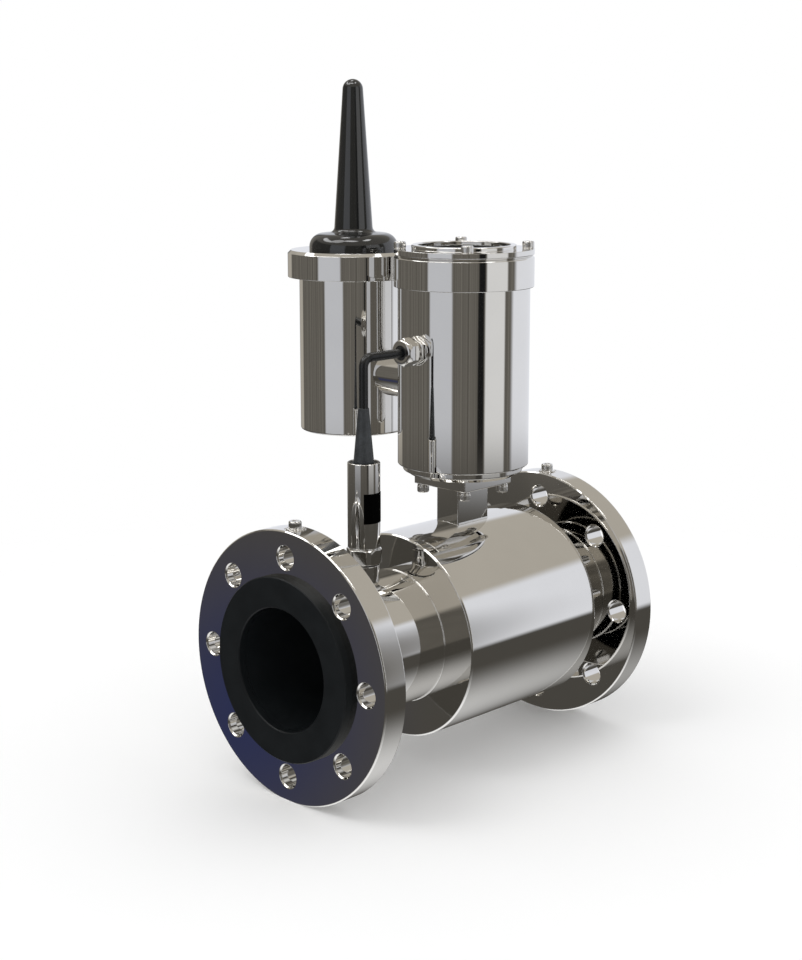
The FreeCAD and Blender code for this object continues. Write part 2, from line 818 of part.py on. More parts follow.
def display_mask():
    """Shallow plastic cap over the display with a window for the glass cell."""
    centre = point(converter_x, 0, lcd_z)
    height = lcd_thick + mask_thick
    cap = cylinder(mask_dia, height, centre)
    cap = cap.cut(cylinder(mask_dia - 2 * mask_wall, lcd_thick, centre))
    opening_length = lcd_length - 2 * mask_overlap
    opening_width = lcd_width - 2 * mask_overlap
    opening_base = centre + Z * lcd_thick
    opening = block(opening_length, opening_width, mask_thick, opening_base)
    return cap.cut(opening)


def bridge_bore():
    """Hollow of the bridge tube, carried on through the walls that face each other."""
    start = point(converter_x, 0, bridge_z)
    return cylinder(bridge_dia - 2 * bridge_wall, housing_pitch, start, Y)


def bridge_tube():
    """Short tube between the two housings, cut to fit both walls."""
    tube = cylinder(bridge_dia, housing_pitch, point(converter_x, 0, bridge_z), Y)
    tube = tube.cut(bridge_bore())
    height = 2 * bridge_dia
    low = bridge_z - bridge_dia
    tube = tube.cut(cylinder(converter_dia, height, point(converter_x, 0, low)))
    return tube.cut(cylinder(battery_housing_dia, height, point(converter_x, housing_pitch, low)))


def battery_base(z):
    return point(converter_x, housing_pitch, z)


def battery_housing():
    """Tube with a welded floor, grooved near its mouth for the cap seal."""
    outer_r = battery_housing_dia / 2
    inner_r = battery_bore_dia / 2
    height = cap_under_z - battery_z
    edge = battery_edge_round
    outline = [(0, 0), (outer_r - edge, 0)]
    outline += [arc_through((outer_r - edge, edge), edge, -90, 0)]
    outline += [(outer_r, height), (inner_r, height), (inner_r, battery_floor), (0, battery_floor)]
    can = turned(outline, battery_base(battery_z))
    can = can.cut(cap_seal())
    return can.cut(bridge_bore())


def cap_seal():
    base = battery_base(collar_bottom_z + cap_seal_step)
    inner_dia = battery_housing_dia - 2 * cap_seal_depth
    return ring(battery_housing_dia, inner_dia, cap_seal_height, base)


def battery_cap():
    """Screw cap of the battery housing, with a bevelled top and a hole for the hub."""
    outer_r = cap_dia / 2
    inner_r = battery_housing_dia / 2
    under = cap_under_z - collar_bottom_z
    outline = [(inner_r, 0), (outer_r, 0), (outer_r, cap_height - cap_chamfer)]
    outline += [(outer_r - cap_chamfer, cap_height), (cap_hole_dia / 2, cap_height)]
    outline += [(cap_hole_dia / 2, under), (inner_r, under)]
    return turned(outline, battery_base(collar_bottom_z))


def battery_cells():
    """Lithium cells with bevelled ends, side by side in layers."""
    cells = []
    for layer in range(cell_layers):
        low = battery_floor_z + holder_thick + layer * cell_pitch_z
        for index in range(cell_count):
            angle = math.radians(360 / cell_count * index + 90)
            offset = point(math.cos(angle), math.sin(angle), 0) * (cell_circle_dia / 2)
            radius = cell_dia / 2
            edge = cell_edge_bevel
            outline = [(0, 0), (radius - edge, 0), (radius, edge), (radius, cell_length - edge)]
            outline += [(radius - edge, cell_length), (0, cell_length)]
            cells.append(turned(outline, battery_base(low) + offset))
    return Part.makeCompound(cells)


def cell_holders():
    """Plastic discs below, between and above the cells, with an open middle."""
    discs = []
    for layer in range(cell_layers + 1):
        low = battery_floor_z + layer * cell_pitch_z
        discs.append(ring(holder_dia, holder_bore_dia, holder_thick, battery_base(low)))
    return Part.makeCompound(discs)


def modem_board():
    """Radio board on top of the cell stack, with its shielded module."""
    disc = cylinder(modem_board_dia, board_thick, battery_base(modem_z))
    base = battery_base(modem_z + board_thick)
    return disc.fuse(block(modem_length, modem_width, modem_height, base))


def radome_outline(inset):
    """Outer line of dome and mast, moved inwards by an inset for the hollow inside."""
    dome_r = dome_dia / 2 - inset
    turn_r = dome_round - inset
    shoulder_z = dome_wall_height + dome_round
    centre = (dome_r - turn_r, dome_wall_height)
    root_r = mast_root_dia / 2 - inset
    fillet = mast_fillet + inset
    crown_z = shoulder_z + dome_top_rise - inset
    tip_r = mast_tip_dia / 2 - inset
    tip_z = mast_height - mast_tip_dia / 2
    outline = [(dome_r, 0), (dome_r, dome_wall_height), arc_through(centre, turn_r, 0, 90)]
    outline += [(root_r + fillet, crown_z)]
    outline += [arc_through((root_r + fillet, crown_z + fillet), fillet, 270, 180)]
    outline += [(tip_r, tip_z), arc_through((0, tip_z), tip_r, 0, 90)]
    return outline


def antenna_radome():
    """Moulded dome and mast in one hollow piece, grooved below for its seal."""
    outer = turned([(0, 0)] + radome_outline(0), battery_base(cap_top_z))
    hollow = turned([(0, 0)] + radome_outline(radome_wall), battery_base(cap_top_z))
    return outer.cut(hollow).cut(radome_seal())


def radome_seal():
    """Rubber ring under the middle of the radome's wall."""
    middle_dia = dome_dia - radome_wall
    outer_dia = middle_dia + radome_seal_width
    inner_dia = middle_dia - radome_seal_width
    return ring(outer_dia, inner_dia, radome_seal_thick, battery_base(cap_top_z))


def antenna_hub():
    """Turned hub that holds the rod and is screwed through the cap."""
    neck_top = hub_thick + hub_neck_height
    stub = cap_top_thick + hub_thread_length
    outline = [(0, -stub), (cap_hole_dia / 2, -stub), (cap_hole_dia / 2, 0), (hub_dia / 2, 0)]
    outline += [(hub_dia / 2, hub_thick), (hub_neck_dia / 2, hub_thick), (hub_neck_dia / 2, neck_top)]
    outline += [(0, neck_top)]
    return turned(outline, battery_base(cap_top_z)).cut(antenna_rod())


def hub_nut():
    base = battery_base(cap_under_z - hub_nut_thick)
    nut = hexagon(hub_nut_flats, hub_nut_thick, base)
    return nut.cut(cylinder(cap_hole_dia, hub_nut_thick, base))


def antenna_rod():
    length = mast_height - mast_tip_dia / 2 - hub_thick - rod_tip_gap
    return cylinder(rod_dia, length, battery_base(cap_top_z + hub_thick))


def sensor_boss():
    """Weld-on boss on the flow tube, tapped for the pressure sensor."""
    boss = cylinder(boss_dia, boss_top_z, point(sensor_x, 0, 0))
    boss = boss.cut(cylinder(2 * tube_r, flange_spacing, point(-flange_face_x, 0, 0), X))
    return boss.cut(sensor_shank_space())


def sensor_seal():
    base = point(sensor_x, 0, boss_top_z)
    return ring(boss_dia, sensor_thread_dia, sensor_seal_thick, base)


def sensor_fitting():
    """Hexagon and threaded shank of the pressure sensor, flush with the bore."""
    base = point(sensor_x, 0, hex_z)
    nut = hexagon(sensor_hex_flats, sensor_hex_height, base)
    nut = nut.common(cylinder(sensor_hex_bar_dia, sensor_hex_height, base))
    nut = hex_cone_cut(nut, sensor_hex_flats, sensor_hex_height, base, Z, True)
    groove_base = base + Z * sensor_hex_height
    neck = cylinder(sensor_groove_dia, sensor_groove_height, groove_base)
    return nut.fuse(neck).fuse(sensor_shank_space()).removeSplitter()


def sensor_housing():
    """Tubular body of the sensor, with an open rim round the cable boot."""
    radius = sensor_dia / 2
    edge = sensor_edge_chamfer
    rim_r = radius - sensor_rim_wall
    rim_z = sensor_body_height - sensor_rim_depth
    outline = [(0, 0), (radius - edge, 0), (radius, edge), (radius, sensor_body_height - edge)]
    outline += [(radius - edge, sensor_body_height), (rim_r, sensor_body_height)]
    outline += [(rim_r, rim_z), (0, rim_z)]
    body = turned(outline, point(sensor_x, 0, sensor_z))
    return body.cut(cable_bottom_space())


def cable_bottom_space():
    """Pocket in the sensor where the cable ends."""
    return cylinder(cable_dia, boot_base_thick, point(sensor_x, 0, boot_z - boot_base_thick))


def sensor_patch():
    """Plain black patch wrapped round a quarter of the sensor body."""
    base = point(sensor_x, 0, sensor_z + patch_low)
    outer_r = sensor_dia / 2 + patch_thick
    return wall_sector(outer_r, patch_thick, patch_height, base, Z, Y * -1, patch_angle / 2)


def cable_boot():
    """Rubber sleeve that tapers up from the sensor rim along the cable."""
    base_r = sensor_dia / 2 - sensor_rim_wall
    hollow_r = cable_dia / 2
    root_r = boot_root_dia / 2
    tip_r = boot_tip_dia / 2
    top = sensor_rim_depth + boot_height
    lip = (tip_r - hollow_r) / 2
    outline = [(hollow_r, 0), (base_r, 0), (base_r, boot_base_thick), (root_r, boot_base_thick)]
    outline += [(root_r, sensor_rim_depth), (tip_r, top - lip), (tip_r - lip, top), (hollow_r, top)]
    return turned(outline, point(sensor_x, 0, boot_z))


def cable_path():
    """Straight up from the sensor, one tight bend, then straight into the gland."""
    start = point(sensor_x, 0, boot_z - boot_base_thick)
    bend_low = point(sensor_x, 0, gland_z - cable_bend_radius)
    bend_end = point(sensor_x + cable_bend_radius, 0, gland_z)
    lean = cable_bend_radius * (1 - math.sqrt(0.5))
    bend_middle = point(sensor_x + lean, 0, gland_z - lean)
    end = point(gland_inner_x + cable_tail, 0, gland_z)
    rise = Part.LineSegment(start, bend_low).toShape()
    bend = Part.Arc(bend_low, bend_middle, bend_end).toShape()
    run = Part.LineSegment(bend_end, end).toShape()
    return Part.Wire([rise, bend, run])


def sensor_cable():
    path = cable_path()
    start = point(sensor_x, 0, boot_z - boot_base_thick)
    section = Part.Wire([Part.makeCircle(cable_dia / 2, start, Z)])
    return path.makePipeShell([section], True, True)


def gland_thread_space():
    length = gland_hex_height + converter_wall + locknut_thick
    start = point(gland_wall_x - gland_hex_height, 0, gland_z)
    return cylinder(gland_thread_dia, length, start, X)


def gland_body():
    """Round flange on the wall, hexagon, thread through the wall and neck for the nut."""
    inner_end = converter_wall + locknut_thick
    thread = cylinder(gland_thread_dia, inner_end, point(gland_wall_x, 0, gland_z), X)
    outwards = X * -1
    flange_base = point(gland_wall_x + wall_gap(), 0, gland_z)
    flange_length = gland_flange_thick + wall_gap()
    flange_r = gland_flange_dia / 2
    edge = gland_flange_chamfer
    outline = [(0, 0), (flange_r, 0), (flange_r, flange_length - edge)]
    outline += [(flange_r - edge, flange_length), (0, flange_length)]
    seat = turned(outline, flange_base, outwards)
    hex_base = point(gland_wall_x - gland_flange_thick, 0, gland_z)
    hex_length = gland_hex_height - gland_flange_thick
    nut = hexagon(gland_hex_flats, hex_length, hex_base, outwards, 0)
    nut = hex_cone_cut(nut, gland_hex_flats, hex_length, hex_base, outwards, False).fuse(seat)
    height = 2 * converter_dia
    low = point(converter_x, 0, gland_z - converter_dia)
    nut = nut.cut(cylinder(converter_dia, height, low))
    neck_length = gland_neck_height + gland_nut_grip
    neck_base = point(gland_wall_x - gland_hex_height, 0, gland_z)
    neck = cylinder(gland_neck_dia, neck_length, neck_base, outwards)
    body = nut.fuse(thread).fuse(neck).removeSplitter()
    bore_length = inner_end + gland_hex_height + neck_length
    bore_base = point(gland_wall_x + inner_end, 0, gland_z)
    return body.cut(cylinder(cable_dia, bore_length, bore_base, outwards))


def wall_gap():
    """Depth by which the flange of the gland reaches into the curve of the wall."""
    radius = converter_dia / 2
    return radius - math.sqrt(radius ** 2 - (gland_flange_dia / 2) ** 2)


def gland_nut():
    """Domed nut with a hexagon, a rounded front and an open mouth for the cable."""
    outwards = X * -1
    base = point(gland_nut_x, 0, gland_z)
    corner_r = gland_nut_flats / 2 / math.cos(math.pi / 6)
    front = gland_nut_height
    turn = gland_nut_round
    body = hexagon(gland_nut_flats, front, base, outwards, 0)
    outline = [(0, 0), (gland_nut_flats / 2, 0), (corner_r, corner_r - gland_nut_flats / 2)]
    outline += [(corner_r, front - turn - 1), (corner_r - turn / 3, front - turn)]
    centre = (corner_r - turn / 3 - turn, front - turn)
    outline += [arc_through(centre, turn, 0, 90), (0, front)]
    body = body.common(turned(outline, base, outwards))
    body = body.cut(cylinder(gland_neck_dia, gland_nut_grip, base, outwards))
    return body.cut(cylinder(gland_mouth_dia, front, base, outwards))


def gland_seal():
    """Rubber bush pressed round the cable inside the nut."""
    outwards = X * -1
    base = point(gland_nut_x - gland_nut_grip, 0, gland_z)
    return ring(gland_mouth_dia, cable_dia, gland_seal_length, base, outwards)


def gland_locknut():
    flat = point(gland_inner_x, 0, gland_z)
    nut = hexagon(gland_hex_flats, locknut_thick, flat, X, 0)
    inside = cylinder(converter_dia - 2 * converter_wall, 2 * converter_dia,
                      point(converter_x, 0, gland_z - converter_dia))
    return nut.common(inside).cut(cylinder(gland_thread_dia, locknut_thick, flat, X))


def ground_seats():
    middle_x = flange_back_x + flange_thick / 2
    seat_z = flange_dia / 2 - ground_spot_depth
    return [point(side * middle_x, 0, seat_z) for side in (-1, 1)]


def ground_screws():
    reach = ground_thread_depth
    seats = [seat + Z * tooth_washer_thick for seat in ground_seats()]
    return Part.makeCompound([cap_screw(seat, Z * -1, reach) for seat in seats])


def ground_washers():
    """Toothed washers that bite into paint or oxide under the ground screws."""
    washers = []
    for seat in ground_seats():
        bore = screw_dia + 2 * washer_bore_clearance
        washer = ring(tooth_washer_dia, bore, tooth_washer_thick, seat)
        for index in range(tooth_count):
            centre = seat + X * (tooth_washer_dia / 2)
            gap = block(2 * tooth_depth, tooth_gap, tooth_washer_thick, centre)
            gap.rotate(seat, Z, 360 / tooth_count * index)
            washer = washer.cut(gap)
        washers.append(washer)
    return Part.makeCompound(washers)


def flow_section():
    return {
        "inlet_flange": flange(-1),
        "outlet_flange": flange(1),
        "measuring_tube": measuring_tube(),
        "liner": liner(),
        "liner_flares": Part.makeCompound([liner_flare(-1), liner_flare(1)]),
        "measuring_electrodes": Part.makeCompound([electrode(1), electrode(-1)]),
        "electrode_insulators": Part.makeCompound([electrode_insulator(1), electrode_insulator(-1)]),
        "electrode_nuts": Part.makeCompound([electrode_nut(1), electrode_nut(-1)]),
        "ground_screws": ground_screws(),
        "ground_washers": ground_washers(),
    }


def coil_section():
    return {
        "coil_housing": coil_housing(),
        "end_plates": Part.makeCompound([end_plate(-1), end_plate(1)]),
        "pole_pieces": Part.makeCompound([pole_piece(1), pole_piece(-1)]),
        "coil_bobbins": Part.makeCompound([bobbin(1), bobbin(-1)]),
        "field_coils": Part.makeCompound([field_coil(1), field_coil(-1)]),
        "flux_ring": flux_ring(),
    }


def converter_section():
    return {
        "post": post(),
        "mounting_plate": mounting_plate(),
        "plate_screws": plate_screws(),
        "plate_lock_washers": plate_lock_washers(),
        "converter_housing": converter_housing(),
        "converter_collar": converter_collar(),
        "lid_seal": lid_seal(),
        "lid_ring": lid_ring(),
        "lid_screws": lid_screws(),
        "window": window(),
        "window_gasket": window_gasket(),
        "window_retainer": window_retainer(),
        "board_standoffs": board_standoffs(),
        "power_board": power_board(),
        "power_board_parts": Part.makeCompound(terminal_strips() + [transformer()]),
        "main_board": main_board(),
        "main_board_chips": main_board_chips(),
        "display_board": display_board(),
        "lcd_panel": lcd_panel(),
        "display_mask": display_mask(),
    }


def battery_section():
    return {
        "bridge_tube": bridge_tube(),
        "battery_housing": battery_housing(),
        "battery_cap": battery_cap(),
        "cap_seal": cap_seal(),
        "battery_cells": battery_cells(),
        "cell_holders": cell_holders(),
        "modem_board": modem_board(),
        "antenna_radome": antenna_radome(),
        "radome_seal": radome_seal(),
        "antenna_hub": antenna_hub(),
        "hub_nut": hub_nut(),
        "antenna_rod": antenna_rod(),
    }


def sensor_section():
    return {
        "sensor_boss": sensor_boss(),
        "sensor_seal": sensor_seal(),
        "sensor_fitting": sensor_fitting(),
        "sensor_housing": sensor_housing(),
        "sensor_patch": sensor_patch(),
        "cable_boot": cable_boot(),
        "sensor_cable": sensor_cable(),
        "gland_body": gland_body(),
        "gland_nut": gland_nut(),
        "gland_seal": gland_seal(),
        "gland_locknut": gland_locknut(),
    }


def main():
    os.makedirs("parts", exist_ok=True)
    nodes = {}
    for section in (flow_section, coil_section, converter_section, battery_section, sensor_section):
        nodes.update(section())
    for name, shape in nodes.items():
        shape.exportStep("parts/" + name + ".step")
    print("nodes", len(nodes), "cable bend radius", cable_bend_radius)


main()
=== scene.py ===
"""Dresses a flanged electromagnetic water meter and builds the studio round it.

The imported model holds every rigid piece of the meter. This script gives each of them its
finish, adds the knurls and welds that are too fine for the model, and sets up floor,
light and camera. Lengths are metres in the model's own frame: +X along the flow, +Z up,
and the origin in the middle of the bore.
"""

from __future__ import annotations

import json
import logging
import math
from dataclasses import dataclass, field
from enum import Enum
from typing import Any, Dict, List, Optional, Sequence, Tuple, Union

import bmesh
import bpy
from mathutils import Matrix, Vector

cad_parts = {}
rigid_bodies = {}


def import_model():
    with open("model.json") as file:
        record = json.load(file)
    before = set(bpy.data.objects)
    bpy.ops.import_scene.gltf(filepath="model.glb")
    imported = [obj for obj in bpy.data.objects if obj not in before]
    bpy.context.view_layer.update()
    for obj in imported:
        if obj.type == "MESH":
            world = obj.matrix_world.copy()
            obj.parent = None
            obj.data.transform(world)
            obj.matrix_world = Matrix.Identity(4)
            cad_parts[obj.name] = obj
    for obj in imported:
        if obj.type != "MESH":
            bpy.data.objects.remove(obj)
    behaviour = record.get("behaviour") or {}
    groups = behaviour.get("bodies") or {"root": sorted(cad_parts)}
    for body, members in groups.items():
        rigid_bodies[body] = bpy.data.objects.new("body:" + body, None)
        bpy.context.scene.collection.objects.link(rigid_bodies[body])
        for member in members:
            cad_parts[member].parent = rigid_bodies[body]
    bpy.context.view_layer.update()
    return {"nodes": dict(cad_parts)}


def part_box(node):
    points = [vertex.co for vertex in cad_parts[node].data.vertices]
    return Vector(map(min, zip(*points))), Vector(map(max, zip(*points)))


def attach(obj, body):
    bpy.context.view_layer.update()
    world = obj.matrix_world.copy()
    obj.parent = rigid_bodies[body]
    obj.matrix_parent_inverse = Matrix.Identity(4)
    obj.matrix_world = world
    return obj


LOG = logging.getLogger("water_meter")

MILLIMETRE = 0.001
WHITE = (1.0, 1.0, 1.0)
WARM = (1.05, 0.98, 0.86)
COOL = (0.96, 0.98, 1.04)
BLUE = (0.5, 0.6, 1.6)
BODY = "root"

Colour = Tuple[float, float, float]
Setting = Union[float, Sequence[float], "Channel"]


class Channel:
    """One output of a shader node, which takes part in Python arithmetic.

    Args:
        bench: The node bench that the output lies on.
        socket: The output socket.
    """

    def __init__(self, bench: "Bench", socket: bpy.types.NodeSocket) -> None:
        self.bench = bench
        self.socket = socket

    def _math(self, operation: str, *values: Setting) -> "Channel":
        """Add a Math node for an operation on these values."""
        return self.bench.add("ShaderNodeMath", {"operation": operation}, dict(enumerate(values)))

    def __add__(self, other: Setting) -> "Channel":
        """Return the sum."""
        return self._math("ADD", self, other)

    __radd__ = __add__

    def __sub__(self, other: Setting) -> "Channel":
        """Return this channel less the other value."""
        return self._math("SUBTRACT", self, other)

    def __rsub__(self, other: Setting) -> "Channel":
        """Return the other value less this channel."""
        return self._math("SUBTRACT", other, self)

    def __mul__(self, other: Setting) -> "Channel":
        """Return the product."""
        return self._math("MULTIPLY", self, other)

    __rmul__ = __mul__

    def __truediv__(self, other: Setting) -> "Channel":
        """Return this channel divided by the other value."""
        return self._math("DIVIDE", self, other)

    def __pow__(self, other: Setting) -> "Channel":
        """Return this channel raised to a power."""
        return self._math("POWER", self, other)

    def at_most(self, limit: Setting) -> "Channel":
        """Return this channel, held below a limit."""
        return self._math("MINIMUM", self, limit)

    def at_least(self, limit: Setting) -> "Channel":
        """Return this channel, held above a limit."""
        return self._math("MAXIMUM", self, limit)

    def step(self, low: float, high: float) -> "Channel":
        """Return a smooth step of this channel.

        Args:
            low: The value up to which the step is 0.
            high: The value from which the step is 1.
        """
        limits = {"From Min": low, "From Max": high}
        settings = {"interpolation_type": "SMOOTHSTEP"}
        return self.bench.add("ShaderNodeMapRange", settings, {"Value": self, **limits})


class Bench:
    """The node tree of one material or world, and the one way in which its nodes are made.

    Args:
        tree: The tree, which is emptied first.
    """

    def __init__(self, tree: bpy.types.NodeTree) -> None:
        self.tree = tree
        tree.nodes.clear()

    def node(
        self,
        kind: str,
        settings: Optional[Dict[str, Any]] = None,
        values: Optional[Dict[Union[str, int], Setting]] = None,
    ) -> bpy.types.Node:
        """Add a node, set its properties, and fill or link its sockets.

        Args:
            kind: The node's type name.
            settings: Its properties, which are set before its sockets.
            values: Its sockets by name or number, each a value, a colour or a channel.

        Returns:
            The new node.
        """
        made = self.tree.nodes.new(kind)
        for name, setting in (settings or {}).items():
            setattr(made, name, setting)
        for key, value in (values or {}).items():
            socket = made.inputs[key]
            if isinstance(value, Channel):
                self.tree.links.new(value.socket, socket)
            elif socket.type == "RGBA":
                socket.default_value = (*value, 1.0)
            else:
                socket.default_value = value
        return made

    def add(
        self,
        kind: str,
        settings: Optional[Dict[str, Any]] = None,
        values: Optional[Dict[Union[str, int], Setting]] = None,
        output: Union[str, int] = 0,
    ) -> Channel:
        """Add a node, as node() does, and return one of its outputs as a channel."""
        return Channel(self, self.node(kind, settings, values).outputs[output])

    def blend(self, first: Setting, second: Setting, share: Setting) -> Channel:
        """Mix two colours, where a share of 1 gives the second."""
        settings = {"data_type": "RGBA"}
        return self.add("ShaderNodeMix", settings, {0: share, 6: first, 7: second}, output=2)

    def times(self, first: Setting, second: Setting) -> Channel:
        """Multiply two colours."""
        settings = {"data_type": "RGBA", "blend_type": "MULTIPLY"}
        return self.add("ShaderNodeMix", settings, {0: 1.0, 6: first, 7: second}, output=2)

    def mixed(self, first: Channel, second: Channel, share: Channel) -> Channel:
        """Mix two vectors, where a share of 1 gives the second."""
        settings = {"data_type": "VECTOR"}
        return self.add("ShaderNodeMix", settings, {0: share, 4: first, 5: second}, output=1)

    def coordinate(self, place: Channel, axis: str) -> Channel:
        """Return one coordinate of a place."""
        return self.add("ShaderNodeSeparateXYZ", None, {0: place}, output=axis)

    def scaled(self, vector: Channel, factors: Sequence[float]) -> Channel:
        """Multiply a vector by three factors."""
        return self.add("ShaderNodeVectorMath", {"operation": "MULTIPLY"}, {0: vector, 1: factors})

    def noise(self, place: Channel, scale: float, detail: float = 2.0) -> Channel:
        """Return soft noise from 0 to 1 at a place."""
        return self.add("ShaderNodeTexNoise", None, {"Vector": place, "Scale": scale, "Detail": detail})

    def bump(self, height: Channel, depth: float) -> Channel:
        """Return the normal of a surface that a height from 0 to 1 raises by a depth in metres."""
        return self.add("ShaderNodeBump", None, {"Height": height, "Distance": depth})

    def place(self) -> Channel:
        """Return the point on the surface, in metres in the model's frame."""
        return self.add("ShaderNodeTexCoord", output="Object")

    def surface(self, values: Dict[Union[str, int], Setting]) -> None:
        """End the tree with a principled surface that has these values."""
        shader = self.add("ShaderNodeBsdfPrincipled", None, values)
        self.node("ShaderNodeOutputMaterial", None, {"Surface": shader})


def at_level(level: float, tint: Colour = WHITE) -> Colour:
    """Return a colour at a brightness."""
    return (level * tint[0], level * tint[1], level * tint[2])


class Axis(Enum):
    """The way in which a piece was turned or drawn, which its polishing lines run round."""

    ALONG_FLOW = (1.0, 0.0, 0.0)
    ACROSS = (0.0, 1.0, 0.0)
    UPRIGHT = (0.0, 0.0, 1.0)


class Finish:
    """A surface finish. Each kind below paints one material, which is made once."""

    name: str
    _made: Dict[str, bpy.types.Material] = {}

    def paint(self, bench: Bench) -> None:
        """Build the finish on an empty bench."""
        raise NotImplementedError

    def material(self) -> bpy.types.Material:
        """Return the finish as a material, which is built on the first call."""
        if self.name not in self._made:
            made = bpy.data.materials.new(self.name)
            made.use_nodes = True
            self.paint(Bench(made.node_tree))
            self._made[self.name] = made
        return self._made[self.name]


@dataclass(frozen=True)
class PolishedSteel(Finish):
    """Stainless steel polished to a mirror, with traces of the wheel and a faint haze."""

    name: str
    axis: Axis
    colour: Colour = (0.83, 0.82, 0.80)
    roughness: float = 0.03
    haze: float = 0.03
    edge_round: float = 0.8 * MILLIMETRE
    edge_samples: int = 8
    line_pitch: float = 0.5 * MILLIMETRE
    line_depth: float = 0.0004 * MILLIMETRE
    line_stretch: float = 8.0
    cloud_scale: float = 35.0
    cloud_shade: float = 0.94
    seams: Tuple[float, float] = (-36.8 * MILLIMETRE, 112.8 * MILLIMETRE)
    seam_reach: float = 2.5 * MILLIMETRE
    seam_core: float = 2.25 * MILLIMETRE

    def paint(self, bench: Bench) -> None:
        """Build the finish on an empty bench."""
        place = bench.place()
        factors = [1.0 / self.line_pitch if part else self.line_stretch for part in self.axis.value]
        lines = bench.noise(bench.scaled(place, factors), 1.0, 3.0)
        cloud = bench.noise(place, self.cloud_scale, 4.0)
        settings = {"samples": self.edge_samples}
        rounded = bench.add("ShaderNodeBevel", settings, {"Radius": self.edge_round})
        flat = bench.add("ShaderNodeNewGeometry", output="Normal")
        normal = bench.mixed(rounded, flat, self.at_seam(bench, place))
        height = {"Height": lines, "Distance": self.line_depth, "Normal": normal}
        bench.surface({
            "Base Color": bench.blend(self.colour, at_level(self.cloud_shade, self.colour), cloud),
            "Metallic": 1.0,
            "Roughness": self.roughness + self.haze * cloud * lines,
            "Normal": bench.add("ShaderNodeBump", None, height),
        })

    def at_seam(self, bench: Bench, place: Channel) -> Channel:
        """Return 1 near the seams between coil housing and end plates, which are ground flush."""
        x = bench.coordinate(place, "X")
        shares = []
        for seam in self.seams:
            begun = x.step(seam - self.seam_reach, seam - self.seam_core)
            ended = x.step(seam + self.seam_core, seam + self.seam_reach)
            shares.append(begun * (1.0 - ended))
        return shares[0] + shares[1]


@dataclass(frozen=True)
class Rubber(Finish):
    """Moulded rubber with a fine grain and a dull sheen."""

    name: str
    colour: Colour = (0.006, 0.0065, 0.007)
    roughness: float = 0.32
    grain: float = 0.25 * MILLIMETRE
    grain_depth: float = 0.02 * MILLIMETRE
    speckle: float = 1.0
    gloss: float = 0.5
    cloud_scale: float = 60.0
    haze: float = 0.12

    def paint(self, bench: Bench) -> None:
        """Build the finish on an empty bench."""
        place = bench.place()
        grain = bench.noise(place, 1.0 / self.grain, 2.0)
        cloud = bench.noise(place, self.cloud_scale, 3.0)
        pale = at_level(1.0 + self.speckle, self.colour)
        bench.surface({
            "Base Color": bench.blend(self.colour, pale, (grain * cloud * 2.0).at_most(1.0)),
            "Roughness": self.roughness + self.haze * cloud,
            "Specular IOR Level": self.gloss,
            "Normal": bench.bump(grain, self.grain_depth),
        })


@dataclass(frozen=True)
class GlossMoulding(Finish):
    """Glossy moulded plastic with the soft unevenness of a moulding."""

    name: str
    colour: Colour = (0.009, 0.0095, 0.0095)
    roughness: float = 0.05
    refraction: float = 1.75
    cloud_scale: float = 45.0
    cloud_gain: float = 1.35
    haze: float = 0.03
    ripple_scale: float = 90.0
    ripple_depth: float = 0.03 * MILLIMETRE

    def paint(self, bench: Bench) -> None:
        """Build the finish on an empty bench."""
        place = bench.place()
        cloud = bench.noise(place, self.cloud_scale, 3.0)
        ripple = bench.noise(place, self.ripple_scale, 1.0)
        bench.surface({
            "Base Color": bench.blend(self.colour, at_level(self.cloud_gain, self.colour), cloud),
            "Roughness": self.roughness + self.haze * cloud,
            "IOR": self.refraction,
            "Normal": bench.bump(ripple, self.ripple_depth),
        })


@dataclass(frozen=True)
class PlainPlastic(Finish):
    """Matt moulded plastic, film or board with a fine grain in its own colour."""

    name: str
    colour: Colour
    roughness: float = 0.5
    grain: float = 0.4 * MILLIMETRE
    grain_depth: float = 0.01 * MILLIMETRE
    gloss: float = 0.5
    cloud_scale: float = 80.0
    cloud_shade: float = 0.8
    haze: float = 0.1

    def paint(self, bench: Bench) -> None:
        """Build the finish on an empty bench."""
        place = bench.place()
        grain = bench.noise(place, 1.0 / self.grain, 2.0)
        cloud = bench.noise(place, self.cloud_scale, 3.0)
        bench.surface({
            "Base Color": bench.blend(self.colour, at_level(self.cloud_shade, self.colour), cloud),
            "Roughness": self.roughness + self.haze * (grain - 0.5),
            "Specular IOR Level": self.gloss,
            "Normal": bench.bump(grain, self.grain_depth),
        })


@dataclass(frozen=True)
class WovenBoard(Finish):
    """Circuit board laminate: solder mask over a fine glass weave."""

    name: str
    colour: Colour = (0.02, 0.16, 0.07)
    thread: float = 0.7 * MILLIMETRE
    thread_depth: float = 0.01 * MILLIMETRE
    bands_per_thread: float = 0.3
    weave_gain: float = 1.5
    roughness: float = 0.32
    haze: float = 0.1

    def paint(self, bench: Bench) -> None:
        """Build the finish on an empty bench."""
        values = {"Vector": bench.place(), "Scale": self.bands_per_thread / self.thread}
        warp = bench.add("ShaderNodeTexWave", {"bands_direction": "X"}, values)
        weft = bench.add("ShaderNodeTexWave", {"bands_direction": "Y"}, values)
        weave = warp * weft
        bench.surface({
            "Base Color": bench.blend(self.colour, at_level(self.weave_gain, self.colour), weave),
            "Roughness": self.roughness + self.haze * weave,
            "Normal": bench.bump(weave, self.thread_depth),
        })


